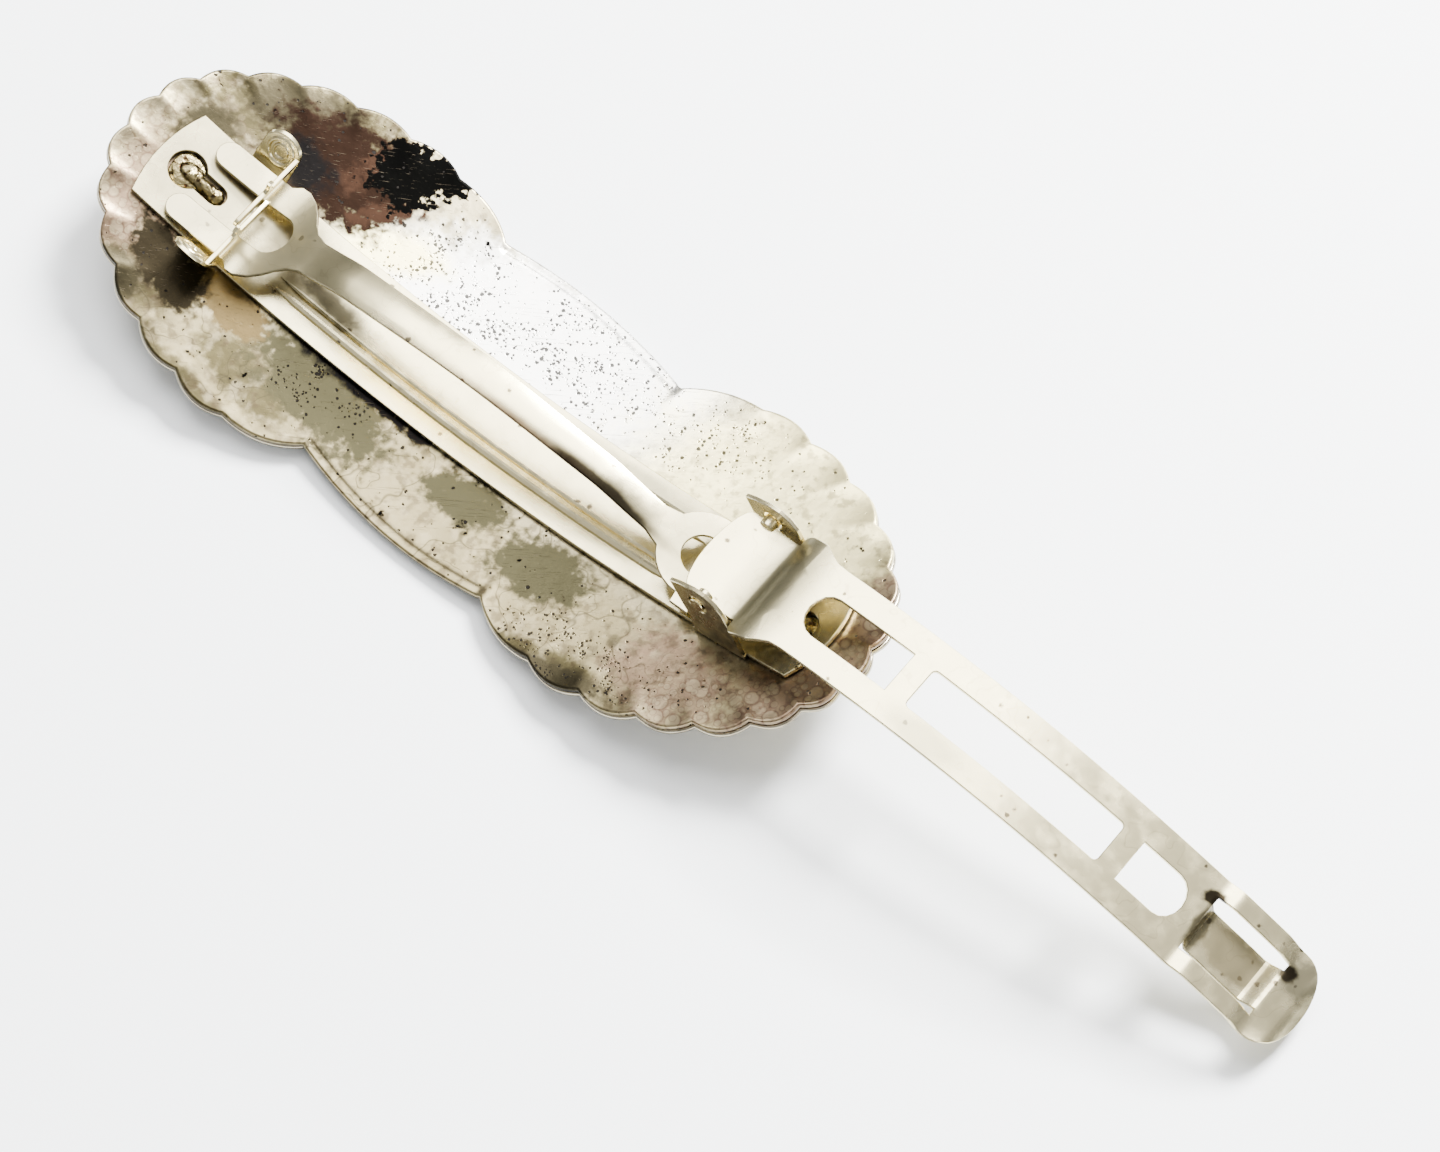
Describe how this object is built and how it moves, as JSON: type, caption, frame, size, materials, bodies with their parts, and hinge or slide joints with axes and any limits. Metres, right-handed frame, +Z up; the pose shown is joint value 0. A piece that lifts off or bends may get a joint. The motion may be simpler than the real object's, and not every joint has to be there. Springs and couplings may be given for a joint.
{
  "type": "barrette",
  "caption": "Silver-plated hair barrette: a scalloped curved front on a sprung clip whose clasp arm swings over and snaps under the latch.",
  "frame": {"origin": "middle of the open barrette's box, on the surface it lies on", "axes": "+X along the clip from its latch to its hinge and the open arm, +Y across it, +Z up, away from the front of the barrette"},
  "size_m": [0.1364, 0.0352, 0.0133],
  "materials": {
    "tarnished_silver": "tarnished polished silver",
    "front_silver": "polished silver",
    "nickel_steel": "bright nickel plate on spring steel",
    "solder": "dull solder"
  },
  "bodies": {
    "plate_and_base": {"silver_plate": "tarnished_silver", "front_shell_latch": "front_silver", "front_shell_hinge": "front_silver", "clip_base": "nickel_steel", "solder_latch": "solder", "solder_hinge": "solder"},
    "clasp_arm": {"clasp_arm": "nickel_steel"},
    "tension_bar_root": {"tension_bar_ring": "nickel_steel"},
    "tension_bar_tip": {"tension_bar_fork": "nickel_steel"},
    "latch_left": {"latch_ear_left": "nickel_steel"},
    "latch_right": {"latch_ear_right": "nickel_steel"}
  },
  "joints": [
    {"name": "arm_hinge", "type": "hinge", "parent": "plate_and_base", "child": "clasp_arm", "pos_m": [0.00543, -0.0005, 0.01087], "axis": [0, -1, 0], "range_deg": [0, 187]},
    {"name": "bar_root_flex", "type": "hinge", "parent": "plate_and_base", "child": "tension_bar_root", "pos_m": [0.00162, -0.0005, 0.00656], "axis": [0, -1, 0], "range_deg": [0, 14]},
    {"name": "bar_crown_flex", "type": "hinge", "parent": "tension_bar_root", "child": "tension_bar_tip", "pos_m": [-0.02536, -0.0005, 0.01081], "axis": [0, -1, 0], "range_deg": [-27, 0]},
    {"name": "latch_left_squeeze", "type": "hinge", "parent": "plate_and_base", "child": "latch_left", "pos_m": [-0.05279, -0.0056, 0.00602], "axis": [-1, 0, 0], "range_deg": [0, 4], "stiffness_Nm_per_rad": 0.15, "springref_deg": -2.86},
    {"name": "latch_right_squeeze", "type": "hinge", "parent": "plate_and_base", "child": "latch_right", "pos_m": [-0.05279, 0.0046, 0.00602], "axis": [1, 0, 0], "range_deg": [0, 4], "stiffness_Nm_per_rad": 0.15, "springref_deg": -2.86}
  ],
  "couplings": [
    {"joint": "bar_root_flex", "follows": "arm_hinge", "ratio": 0.074866},
    {"joint": "bar_crown_flex", "follows": "arm_hinge", "ratio": -0.14439}
  ]
}
